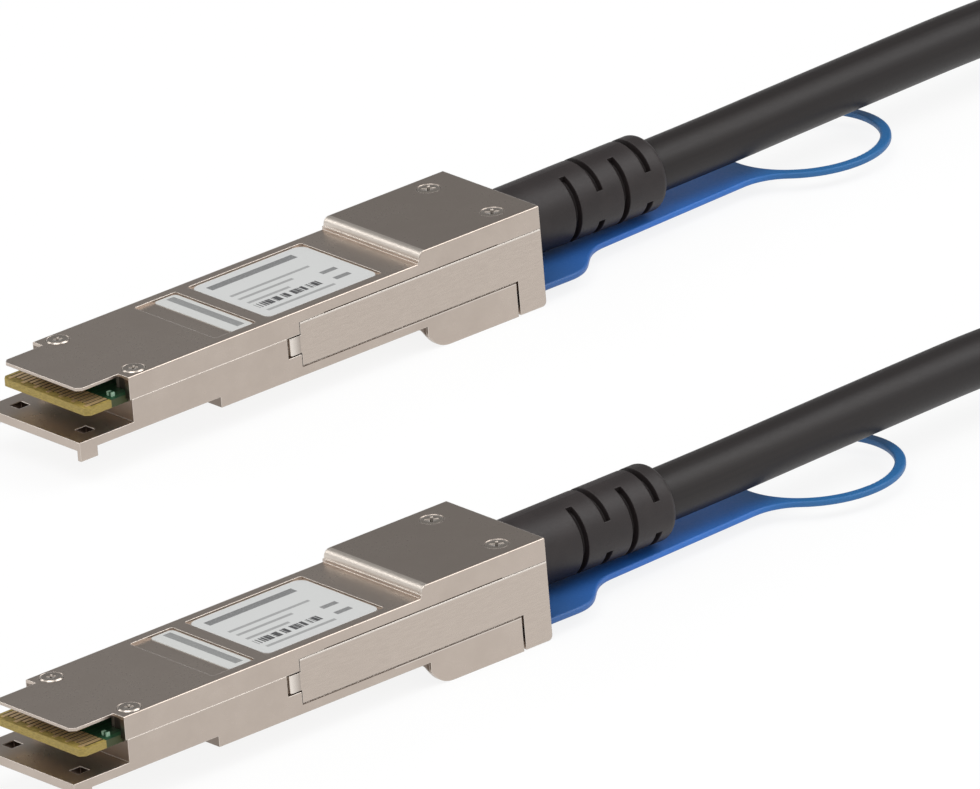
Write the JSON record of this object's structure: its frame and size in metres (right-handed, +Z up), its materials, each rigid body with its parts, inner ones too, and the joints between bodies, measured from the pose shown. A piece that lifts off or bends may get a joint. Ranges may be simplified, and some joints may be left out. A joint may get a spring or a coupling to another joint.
{
  "type": "direct attach copper cable",
  "caption": "Twinaxial cable with a pluggable metal connector at each end, each unlatched by a flat pull tab with a finger loop.",
  "frame": {"origin": "middle of the resting surface under the two connectors, the cable left out", "axes": "+X from the connectors' noses to the cable, +Y across, from the near connector to the far one, +Z up"},
  "size_m": [0.3312, 0.1056, 0.0133],
  "materials": {
    "nickel_casting": "satin nickel plate on a casting",
    "latch_steel": "satin stamped sheet",
    "tab_blue": "smooth moulded",
    "spring_steel": "bright drawn wire",
    "boot_black": "fine texture",
    "jacket_black": "satin extruded",
    "ferrule_metal": "turned",
    "braid_metal": "woven",
    "board_green": "solder mask",
    "contact_gold": "polished plate",
    "chip_black": "moulded",
    "capacitor_tan": "fired",
    "wire_foil": "foil wrap",
    "glue_amber": "set bead",
    "screw_steel": "plated",
    "label_white": "printed film"
  },
  "bodies": {
    "cable_assembly": {"cable": "jacket_black", "top_cover_a": "nickel_casting", "bottom_shell_a": "nickel_casting", "return_springs_a": "spring_steel", "cable_boot_a": "boot_black", "crimp_ferrule_a": "ferrule_metal", "braid_bundle_a": "braid_metal", "paddle_card_a": "board_green", "gold_contacts_a": "contact_gold", "memory_chip_a": "chip_black", "capacitors_a": "capacitor_tan", "twinax_pairs_a": "wire_foil", "wire_glue_a": "glue_amber", "front_screws_a": "screw_steel", "rear_screws_a": "screw_steel", "main_label_a": "label_white", "strip_label_a": "label_white", "top_cover_b": "nickel_casting", "bottom_shell_b": "nickel_casting", "return_springs_b": "spring_steel", "cable_boot_b": "boot_black", "crimp_ferrule_b": "ferrule_metal", "braid_bundle_b": "braid_metal", "paddle_card_b": "board_green", "gold_contacts_b": "contact_gold", "memory_chip_b": "chip_black", "capacitors_b": "capacitor_tan", "twinax_pairs_b": "wire_foil", "wire_glue_b": "glue_amber", "front_screws_b": "screw_steel", "rear_screws_b": "screw_steel", "main_label_b": "label_white", "strip_label_b": "label_white"},
    "latch_a": {"latch_yoke_a": "latch_steel", "pull_tab_a": "tab_blue"},
    "latch_b": {"latch_yoke_b": "latch_steel", "pull_tab_b": "tab_blue"}
  },
  "joints": [
    {"name": "latch_pull_a", "type": "slide", "parent": "cable_assembly", "child": "latch_a", "axis": [1, 0, 0], "range_m": [0, 0.0022], "stiffness_N_per_m": 1000, "springref_m": -0.003, "deforming": ["return_springs_a"]},
    {"name": "latch_pull_b", "type": "slide", "parent": "cable_assembly", "child": "latch_b", "axis": [1, 0, 0], "range_m": [0, 0.0022], "stiffness_N_per_m": 1000, "springref_m": -0.003, "deforming": ["return_springs_b"]}
  ]
}
